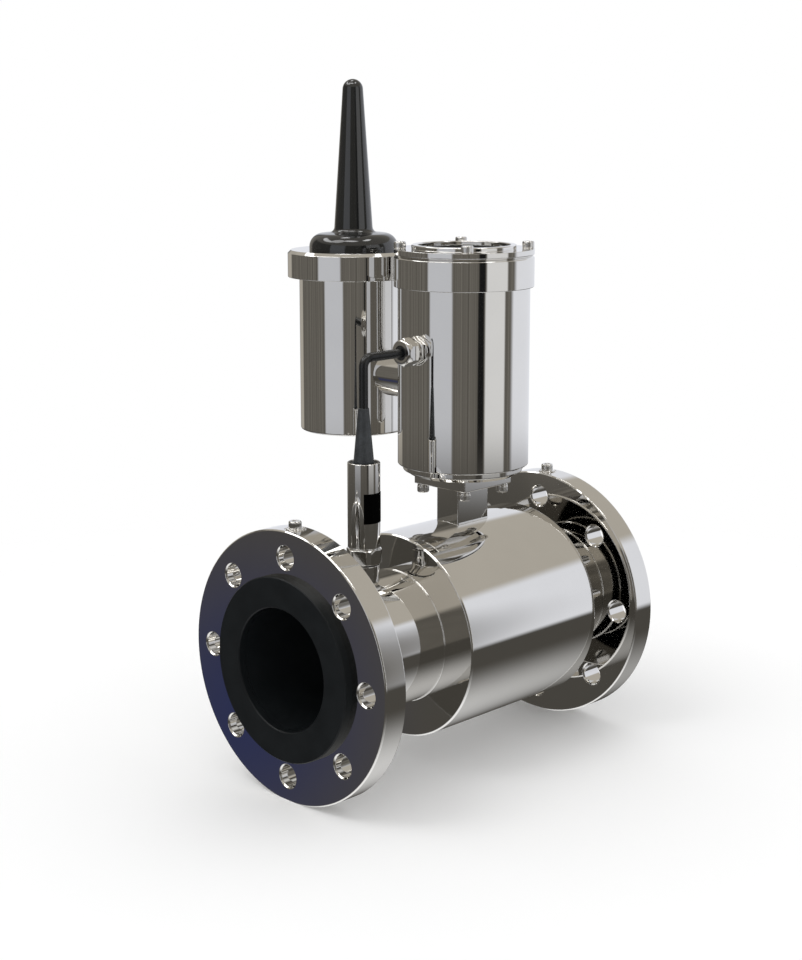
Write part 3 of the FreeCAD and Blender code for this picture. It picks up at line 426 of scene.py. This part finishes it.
@dataclass(frozen=True)
class TurnedMetal(Finish):
    """Bare metal as it comes from the lathe or the winding bench, with fine parallel lines."""

    name: str
    colour: Colour
    axis: Axis = Axis.UPRIGHT
    roughness: float = 0.28
    line_pitch: float = 0.35 * MILLIMETRE
    line_depth: float = 0.02 * MILLIMETRE
    line_stretch: float = 10.0
    cloud_scale: float = 50.0
    cloud_shade: float = 0.75
    haze: float = 0.15

    def paint(self, bench: Bench) -> None:
        """Build the finish on an empty bench."""
        place = bench.place()
        factors = [1.0 / self.line_pitch if part else self.line_stretch for part in self.axis.value]
        lines = bench.noise(bench.scaled(place, factors), 1.0, 1.0)
        cloud = bench.noise(place, self.cloud_scale, 3.0)
        bench.surface({
            "Base Color": bench.blend(self.colour, at_level(self.cloud_shade, self.colour), cloud),
            "Metallic": 1.0,
            "Roughness": self.roughness + self.haze * (lines - 0.5),
            "Normal": bench.bump(lines, self.line_depth),
        })


@dataclass(frozen=True)
class ClearGlass(Finish):
    """Polished flat glass with a trace of dust."""

    name: str
    colour: Colour = (0.93, 0.97, 0.96)
    refraction: float = 1.5
    dust_scale: float = 400.0
    dust_free: float = 0.45
    haze: float = 0.1

    def paint(self, bench: Bench) -> None:
        """Build the finish on an empty bench."""
        dust = bench.noise(bench.place(), self.dust_scale, 5.0)
        bench.surface({
            "Base Color": self.colour,
            "Roughness": (dust - self.dust_free).at_least(0.0) * self.haze,
            "IOR": self.refraction,
            "Transmission Weight": 1.0,
        })


@dataclass
class Finishes:
    """Every finish of the meter."""

    steel_along: Finish = PolishedSteel("polished_steel_along", Axis.ALONG_FLOW)
    steel_upright: Finish = PolishedSteel("polished_steel_upright", Axis.UPRIGHT)
    steel_across: Finish = PolishedSteel("polished_steel_across", Axis.ACROSS)
    screw: Finish = PolishedSteel("screw_steel", Axis.UPRIGHT, roughness=0.05, haze=0.05)
    liner: Finish = Rubber("liner_rubber", colour=(0.0055, 0.0065, 0.0072), gloss=0.15)
    seal: Finish = Rubber("seal_rubber", colour=(0.02, 0.02, 0.02), roughness=0.6)
    boot: Finish = Rubber(
        "boot_rubber", colour=(0.004, 0.0045, 0.005), speckle=12.0, roughness=0.35,
        grain=0.9 * MILLIMETRE, grain_depth=0.12 * MILLIMETRE,
    )
    cable: Finish = Rubber("cable_jacket", colour=(0.004, 0.0045, 0.005), roughness=0.2)
    radome: Finish = GlossMoulding("antenna_moulding")
    patch: Finish = PlainPlastic("black_film", (0.0006, 0.0006, 0.0006), roughness=0.8, gloss=0.02)
    glass: Finish = ClearGlass("window_glass")
    magnet: Finish = TurnedMetal("magnet_steel", (0.35, 0.35, 0.36), Axis.ALONG_FLOW)
    copper: Finish = TurnedMetal("copper_winding", (0.72, 0.33, 0.16), line_pitch=0.6 * MILLIMETRE)
    electrode: Finish = TurnedMetal("electrode_alloy", (0.6, 0.6, 0.62), Axis.ACROSS)
    brass: Finish = TurnedMetal("turned_brass", (0.78, 0.58, 0.28))
    board: Finish = WovenBoard("circuit_board")
    parts: Finish = PlainPlastic("board_parts", (0.03, 0.03, 0.032), roughness=0.4)
    bobbin: Finish = PlainPlastic("bobbin_plastic", (0.7, 0.67, 0.58))
    mask: Finish = PlainPlastic("display_mask", (0.02, 0.02, 0.022))
    lcd: Finish = PlainPlastic("display_cell", (0.34, 0.38, 0.31), roughness=0.15)
    sleeve: Finish = GlossMoulding("cell_sleeve", colour=(0.06, 0.16, 0.36), roughness=0.25, refraction=1.5)
    holder: Finish = PlainPlastic("cell_holder", (0.75, 0.75, 0.73))


def new_piece(name: str, mesh: bmesh.types.BMesh, finish: Finish) -> bpy.types.Object:
    """Turn a finished bmesh into a piece of the meter.

    Args:
        name: The piece's name.
        mesh: Its shape in the model's frame, which is freed.
        finish: Its finish.

    Returns:
        The piece, riding on the meter.
    """
    data = bpy.data.meshes.new(name)
    bmesh.ops.recalc_face_normals(mesh, faces=mesh.faces)
    mesh.to_mesh(data)
    mesh.free()
    piece = bpy.data.objects.new(name, data)
    bpy.context.scene.collection.objects.link(piece)
    data.materials.append(finish.material())
    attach(piece, BODY)
    LOG.info("piece %s: %d faces", name, len(data.polygons))
    return piece


@dataclass
class Assembly:
    """A sub-assembly of the meter, which dresses its own nodes.

    Args:
        nodes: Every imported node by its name.
        finishes: The meter's finishes.
    """

    nodes: Dict[str, bpy.types.Object]
    finishes: Finishes

    def dress(self, finish: Finish, *names: str) -> None:
        """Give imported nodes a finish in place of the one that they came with."""
        for name in names:
            node = self.nodes[name]
            for place in node.material_slots:
                place.material = finish.material()
            LOG.info("node %s: %s", name, finish.name)

    def build(self) -> None:
        """Dress the nodes and add the pieces of this sub-assembly."""
        raise NotImplementedError


@dataclass
class ScrewHeads(Assembly):
    """Straight knurls round the heads of the socket screws."""

    head_radius: float = 5.0 * MILLIMETRE
    head_height: float = 6.0 * MILLIMETRE
    margin: float = 0.9 * MILLIMETRE
    rib_height: float = 0.16 * MILLIMETRE
    rib_sink: float = 0.02 * MILLIMETRE
    rib_count: int = 36

    def knurl(self, mesh: bmesh.types.BMesh, seat: Vector, upwards: float) -> None:
        """Add the ribs of one head.

        Args:
            mesh: The mesh that takes them.
            seat: The middle of the head's seat.
            upwards: 1 for a head that stands on its seat, or -1 for one that hangs.
        """
        low = seat.z + upwards * self.margin
        high = seat.z + upwards * (self.head_height - self.margin)
        rise = upwards * self.rib_height
        steps = 2 * self.rib_count
        rows: List[List[bmesh.types.BMVert]] = []
        for height, raised in ((low, 0.0), (low + rise, 1.0), (high - rise, 1.0), (high, 0.0)):
            row = []
            for index in range(steps):
                angle = 2.0 * math.pi * index / steps
                crest = self.rib_height * raised * (index % 2)
                radius = self.head_radius + crest - self.rib_sink
                spot = (seat.x + radius * math.cos(angle), seat.y + radius * math.sin(angle), height)
                row.append(mesh.verts.new(spot))
            rows.append(row)
        for lower, upper in zip(rows, rows[1:]):
            for index in range(steps):
                after = (index + 1) % steps
                mesh.faces.new((lower[index], lower[after], upper[after], upper[index]))
        mesh.faces.new(rows[0])
        mesh.faces.new(rows[-1])

    def seats(self, node: str, top: bool) -> List[Vector]:
        """Find the seats of the screws in a node from its box.

        Args:
            node: The node that holds the screws.
            top: Whether the heads are on top.
        """
        low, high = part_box(node)
        radius = self.head_radius
        xs = (low.x + radius, high.x - radius)
        ys = (low.y + radius, high.y - radius) if high.y - low.y > 3.0 * radius else (low.y + radius,)
        z = high.z - self.head_height if top else low.z + self.head_height
        return [Vector((x, y, z)) for x in xs for y in ys]

    def build(self) -> None:
        """Dress the screws and washers, and add the knurls."""
        self.dress(self.finishes.screw, "ground_screws", "lid_screws", "plate_screws")
        self.dress(self.finishes.screw, "ground_washers", "plate_lock_washers", "electrode_nuts")
        for node, top in (("ground_screws", True), ("lid_screws", True), ("plate_screws", False)):
            mesh = bmesh.new()
            for seat in self.seats(node, top):
                self.knurl(mesh, seat, 1.0 if top else -1.0)
            new_piece(node + "_knurls", mesh, self.finishes.screw)


@dataclass
class FlowTube(Assembly):
    """Flanges, measuring tube, rubber liner and electrodes."""

    def build(self) -> None:
        """Dress the tube."""
        self.dress(self.finishes.steel_along, "inlet_flange", "outlet_flange", "measuring_tube")
        self.dress(self.finishes.liner, "liner", "liner_flares")
        self.dress(self.finishes.electrode, "measuring_electrodes")
        self.dress(self.finishes.bobbin, "electrode_insulators")


@dataclass
class CoilHousing(Assembly):
    """The housing round the tube and the magnet in it, with fine welds at the tube's joints."""

    bead_size: float = 0.7 * MILLIMETRE
    bead_turns: int = 180
    bead_sides: int = 16

    def joints(self) -> List[float]:
        """Find where flanges and end plates meet the tube, along the flow."""
        low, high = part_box("end_plates")
        return [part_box("inlet_flange")[1].x, low.x, high.x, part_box("outlet_flange")[0].x]

    def bead(self, mesh: bmesh.types.BMesh, x: float, radius: float) -> None:
        """Add a round bead about the flow tube.

        Args:
            mesh: The mesh that takes it.
            x: Its place along the flow.
            radius: The tube's outer radius.
        """
        rows: List[List[bmesh.types.BMVert]] = []
        for turn in range(self.bead_turns):
            angle = 2.0 * math.pi * turn / self.bead_turns
            row = []
            for side in range(self.bead_sides):
                around = 2.0 * math.pi * side / self.bead_sides
                reach = radius + self.bead_size * math.sin(around)
                along = x + self.bead_size * math.cos(around)
                row.append(mesh.verts.new((along, reach * math.cos(angle), reach * math.sin(angle))))
            rows.append(row)
        for row, after in zip(rows, rows[1:] + rows[:1]):
            for side in range(self.bead_sides):
                other = (side + 1) % self.bead_sides
                face = mesh.faces.new((row[side], row[other], after[other], after[side]))
                face.smooth = True

    def build(self) -> None:
        """Dress the housing and the magnet, and add the welds."""
        mesh = bmesh.new()
        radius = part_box("measuring_tube")[1].z
        for x in self.joints():
            self.bead(mesh, x, radius)
        new_piece("tube_welds", mesh, self.finishes.steel_along)
        self.dress(self.finishes.steel_along, "coil_housing", "end_plates")
        self.dress(self.finishes.magnet, "pole_pieces", "flux_ring")
        self.dress(self.finishes.bobbin, "coil_bobbins")
        self.dress(self.finishes.copper, "field_coils")


@dataclass
class Converter(Assembly):
    """Post, plate, converter housing, lid and the electronics inside."""

    def build(self) -> None:
        """Dress the converter."""
        self.dress(self.finishes.steel_upright, "post", "mounting_plate", "converter_housing")
        self.dress(self.finishes.steel_upright, "converter_collar", "lid_ring")
        self.dress(self.finishes.glass, "window")
        self.dress(self.finishes.seal, "lid_seal", "window_gasket")
        self.dress(self.finishes.brass, "window_retainer", "board_standoffs")
        self.dress(self.finishes.board, "power_board", "main_board", "display_board")
        self.dress(self.finishes.parts, "power_board_parts", "main_board_chips")
        self.dress(self.finishes.mask, "display_mask")
        self.dress(self.finishes.lcd, "lcd_panel")


@dataclass
class BatteryHousing(Assembly):
    """Bridge tube, battery housing with its cells, and the antenna on its cap."""

    def build(self) -> None:
        """Dress the battery housing and the antenna."""
        self.dress(self.finishes.steel_across, "bridge_tube")
        self.dress(self.finishes.steel_upright, "battery_housing", "battery_cap")
        self.dress(self.finishes.seal, "cap_seal", "radome_seal")
        self.dress(self.finishes.sleeve, "battery_cells")
        self.dress(self.finishes.holder, "cell_holders")
        self.dress(self.finishes.board, "modem_board")
        self.dress(self.finishes.radome, "antenna_radome")
        self.dress(self.finishes.brass, "antenna_hub", "hub_nut", "antenna_rod")


@dataclass
class PressureSensor(Assembly):
    """The pressure sensor on its boss, its cable and the gland."""

    def build(self) -> None:
        """Dress the sensor, its cable and the gland."""
        self.dress(self.finishes.steel_upright, "sensor_boss", "sensor_fitting", "sensor_housing")
        self.dress(self.finishes.patch, "sensor_patch")
        self.dress(self.finishes.boot, "cable_boot")
        self.dress(self.finishes.cable, "sensor_cable")
        self.dress(self.finishes.steel_along, "gland_body", "gland_nut")
        self.dress(self.finishes.seal, "sensor_seal", "gland_seal")
        self.dress(self.finishes.brass, "gland_locknut")


@dataclass(frozen=True)
class Panel:
    """An upright panel of the studio's wall, as polished metal sees it.

    Args:
        start: The azimuth at which it begins, in degrees from +X towards +Y.
        end: The azimuth at which it ends.
        level: Its brightness.
        tint: Its colour.
        fade: The degrees over which each of its edges fades.
    """

    start: float
    end: float
    level: float
    tint: Colour = WHITE
    fade: float = 4.0

    def mask(self, azimuth: Channel) -> Channel:
        """Return how much of the panel shows at an azimuth."""
        entered = azimuth.step(self.start, self.start + self.fade)
        return entered * (1.0 - azimuth.step(self.end - self.fade, self.end))


@dataclass(frozen=True)
class Patch:
    """A lamp or a small card in the surroundings, round or oval and with a soft edge.

    Args:
        azimuth: Its middle, in degrees from +X towards +Y.
        elevation: Its middle, in degrees above the horizon.
        half_turn: Half its width in azimuth.
        half_rise: Half its height in elevation.
        level: Its brightness.
        softness: The share of its half width that fades out.
        tint: Its colour.
    """

    azimuth: float
    elevation: float
    half_turn: float
    half_rise: float
    level: float
    softness: float = 0.4
    tint: Colour = WHITE

    def mask(self, azimuth: Channel, elevation: Channel) -> Channel:
        """Return how much of the patch shows at a direction."""
        across = (azimuth - self.azimuth) / self.half_turn
        along = (elevation - self.elevation) / self.half_rise
        reach = (across * across + along * along) ** 0.5
        return 1.0 - reach.step(1.0 - self.softness, 1.0)


@dataclass
class Studio:
    """Floor, light and surroundings. The walls show only in polished surfaces.

    The surroundings are a plain studio: a white table, a dark floor beyond it, a dark wall with
    a few broad panels, and a grey ceiling with lamps.
    """

    sun_course: Tuple[float, float, float] = (0.6, -0.2, -1.0)
    sun_strength: float = 0.4
    sun_spread: float = 25.0
    floor_height: float = -0.110
    floor_near: float = 0.45
    floor_reach: float = 0.9
    floor_sides: int = 96
    floor_colour: Colour = (0.95, 0.95, 0.95)
    light_level: float = 1.0
    table_level: float = 1.0
    table_edge: Tuple[float, float] = (-65.0, -25.0)
    dark_floor: float = 0.07
    wall_foot: Tuple[float, float] = (-14.0, -10.0)
    dark_wall: float = 0.13
    wall_top: Tuple[float, float] = (24.0, 30.0)
    ceiling_level: float = 0.45
    stripe_density: float = 0.35
    stripe_depth: float = 1.5
    stripe_least: float = 0.2
    backdrop: Panel = Panel(-50.0, 60.0, 0.85, COOL, fade=10.0)
    right_softbox: Panel = Panel(-102.0, -60.0, 0.75)
    black_flag: Panel = Panel(-115.0, -100.0, 0.01)
    left_softbox: Panel = Panel(160.0, 200.0, 0.60, COOL)
    left_softbox_beyond_180: Panel = Panel(-200.0, -155.0, 0.60, COOL)
    side_card: Panel = Panel(60.0, 90.0, 0.40, WARM)
    key_lamp: Patch = Patch(60.0, 70.0, 34.0, 6.0, 6.0)
    front_lamp: Patch = Patch(-60.0, 66.0, 34.0, 6.0, 6.0)
    rear_lamp: Patch = Patch(120.0, 46.0, 40.0, 7.0, 4.0)
    camera_side_lamp: Patch = Patch(-150.0, 68.0, 46.0, 8.0, 5.0)
    blue_card: Patch = Patch(130.0, -20.0, 7.0, 8.0, 0.06, softness=1.0, tint=BLUE)

    @property
    def panels(self) -> Tuple[Panel, ...]:
        """The panels, in the order in which they cover each other."""
        softboxes = (self.right_softbox, self.left_softbox, self.left_softbox_beyond_180)
        return (self.backdrop, self.side_card, *softboxes, self.black_flag)

    @property
    def patches(self) -> Tuple[Patch, ...]:
        """The lamps below the ceiling and the card by the inlet."""
        return (self.key_lamp, self.front_lamp, self.rear_lamp, self.camera_side_lamp, self.blue_card)

    def stripes(self, bench: Bench, azimuth: Channel) -> Channel:
        """Return the gain of fine upright folds in the dark wall's cloth."""
        values = {"W": azimuth * self.stripe_density, "Scale": 1.0, "Detail": 2.0}
        fine = bench.add("ShaderNodeTexNoise", {"noise_dimensions": "1D"}, values)
        return (1.0 + self.stripe_depth * (fine - 0.5)).at_least(self.stripe_least)

    def surroundings(self, bench: Bench) -> Channel:
        """Build what polished surfaces see: floor, wall and ceiling of a studio.

        Args:
            bench: The world's bench.

        Returns:
            The colour seen along each direction.
        """
        direction = bench.add("ShaderNodeTexCoord", output="Generated")
        parts = bench.node("ShaderNodeSeparateXYZ", None, {0: direction})
        x, y, z = (Channel(bench, part) for part in parts.outputs)
        degrees = math.degrees(1.0)
        azimuth = bench.add("ShaderNodeMath", {"operation": "ARCTAN2"}, {0: y, 1: x}) * degrees
        elevation = bench.add("ShaderNodeMath", {"operation": "ARCSINE"}, {0: z}) * degrees
        wall = bench.times(at_level(self.dark_wall, WARM), self.stripes(bench, azimuth))
        for panel in self.panels:
            wall = bench.blend(wall, at_level(panel.level, panel.tint), panel.mask(azimuth))
        table, floor = at_level(self.table_level), at_level(self.dark_floor, WARM)
        ground = bench.blend(table, floor, elevation.step(*self.table_edge))
        room = bench.blend(ground, wall, elevation.step(*self.wall_foot))
        room = bench.blend(room, at_level(self.ceiling_level, WARM), elevation.step(*self.wall_top))
        for patch in self.patches:
            room = bench.blend(room, at_level(patch.level, patch.tint), patch.mask(azimuth, elevation))
        return room

    def build_world(self) -> None:
        """Make the world: white behind the meter, plain light, and walls for reflections."""
        world = bpy.data.worlds.new("studio")
        world.use_nodes = True
        bpy.context.scene.world = world
        bench = Bench(world.node_tree)
        rays = bench.node("ShaderNodeLightPath")
        camera = Channel(bench, rays.outputs["Is Camera Ray"])
        glossy = Channel(bench, rays.outputs["Is Glossy Ray"])
        clear = Channel(bench, rays.outputs["Is Transmission Ray"])
        mirrored = (glossy + clear).at_most(1.0)
        seen = bench.blend(at_level(self.light_level), self.surroundings(bench), mirrored)
        seen = bench.blend(seen, WHITE, camera)
        background = bench.add("ShaderNodeBackground", None, {"Color": seen})
        bench.node("ShaderNodeOutputWorld", None, {"Surface": background})

    def build_floor(self) -> None:
        """Make the pale floor, which fades into the white round it.

        Polished surfaces don't show it: they show the surroundings' floor.
        """
        mesh = bmesh.new()
        bmesh.ops.create_circle(mesh, cap_ends=True, segments=self.floor_sides, radius=self.floor_reach)
        data = bpy.data.meshes.new("studio_floor")
        mesh.to_mesh(data)
        mesh.free()
        floor = bpy.data.objects.new("studio_floor", data)
        floor.location.z = self.floor_height
        floor.visible_glossy = False
        bpy.context.scene.collection.objects.link(floor)
        material = bpy.data.materials.new("studio_floor")
        material.use_nodes = True
        bench = Bench(material.node_tree)
        settings = {"operation": "LENGTH"}
        distance = bench.add("ShaderNodeVectorMath", settings, {0: bench.place()}, output=1)
        paint = bench.add("ShaderNodeBsdfDiffuse", None, {"Color": self.floor_colour})
        clear = bench.add("ShaderNodeBsdfTransparent", None, {"Color": WHITE})
        far = distance.step(self.floor_near, self.floor_reach)
        surface = bench.add("ShaderNodeMixShader", None, {0: far, 1: paint, 2: clear})
        bench.node("ShaderNodeOutputMaterial", None, {"Surface": surface})
        data.materials.append(material)

    def build_sun(self) -> None:
        """Make a weak, soft distant lamp on the left, whose spread is in degrees."""
        lamp = bpy.data.lights.new("sun_left", "SUN")
        lamp.energy = self.sun_strength
        lamp.angle = math.radians(self.sun_spread)
        sun = bpy.data.objects.new("sun_left", lamp)
        sun.rotation_mode = "QUATERNION"
        sun.rotation_quaternion = Vector(self.sun_course).to_track_quat("-Z", "Y")
        bpy.context.scene.collection.objects.link(sun)

    def build(self) -> None:
        """Make world, floor and lamp."""
        self.build_world()
        self.build_floor()
        self.build_sun()
        LOG.info("studio built")


@dataclass
class Viewpoint:
    """The camera, at the place from which the meter was seen."""

    place: Vector = field(default_factory=lambda: Vector((-0.9982, -0.9448, 0.4257)))
    yaw: float = 45.428
    pitch: float = 10.105
    roll: float = -0.184
    lens: float = 62.35
    sensor: float = 36.0
    shift: Tuple[float, float] = (0.0285, -0.0656)

    def build(self) -> None:
        """Make the camera and look through it."""
        yaw, pitch = math.radians(self.yaw), math.radians(self.pitch)
        level = math.cos(pitch)
        forward = Vector((math.cos(yaw) * level, math.sin(yaw) * level, -math.sin(pitch)))
        right = Vector((math.sin(yaw), -math.cos(yaw), 0.0))
        up = right.cross(forward)
        turn = Matrix((right, up, -forward)).transposed().to_4x4()
        data = bpy.data.cameras.new("camera")
        data.lens = self.lens
        data.sensor_width = self.sensor
        data.shift_x, data.shift_y = self.shift
        camera = bpy.data.objects.new("camera", data)
        tilt = Matrix.Rotation(math.radians(self.roll), 4, "Z")
        camera.matrix_world = Matrix.Translation(self.place) @ turn @ tilt
        bpy.context.scene.collection.objects.link(camera)
        bpy.context.scene.camera = camera
        LOG.info("camera built")


def clear_scene() -> None:
    """Remove what a new file holds."""
    for thing in list(bpy.data.objects):
        bpy.data.objects.remove(thing)


def main() -> None:
    """Build the dressed meter in its studio."""
    logging.basicConfig(level=logging.INFO, format="%(name)s: %(message)s")
    clear_scene()
    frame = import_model()
    finishes = Finishes()
    for kind in (FlowTube, CoilHousing, Converter, BatteryHousing, PressureSensor, ScrewHeads):
        kind(frame["nodes"], finishes).build()
    Studio().build()
    Viewpoint().build()
    bpy.context.scene.view_settings.view_transform = "Standard"


if __name__ == "__main__":
    main()
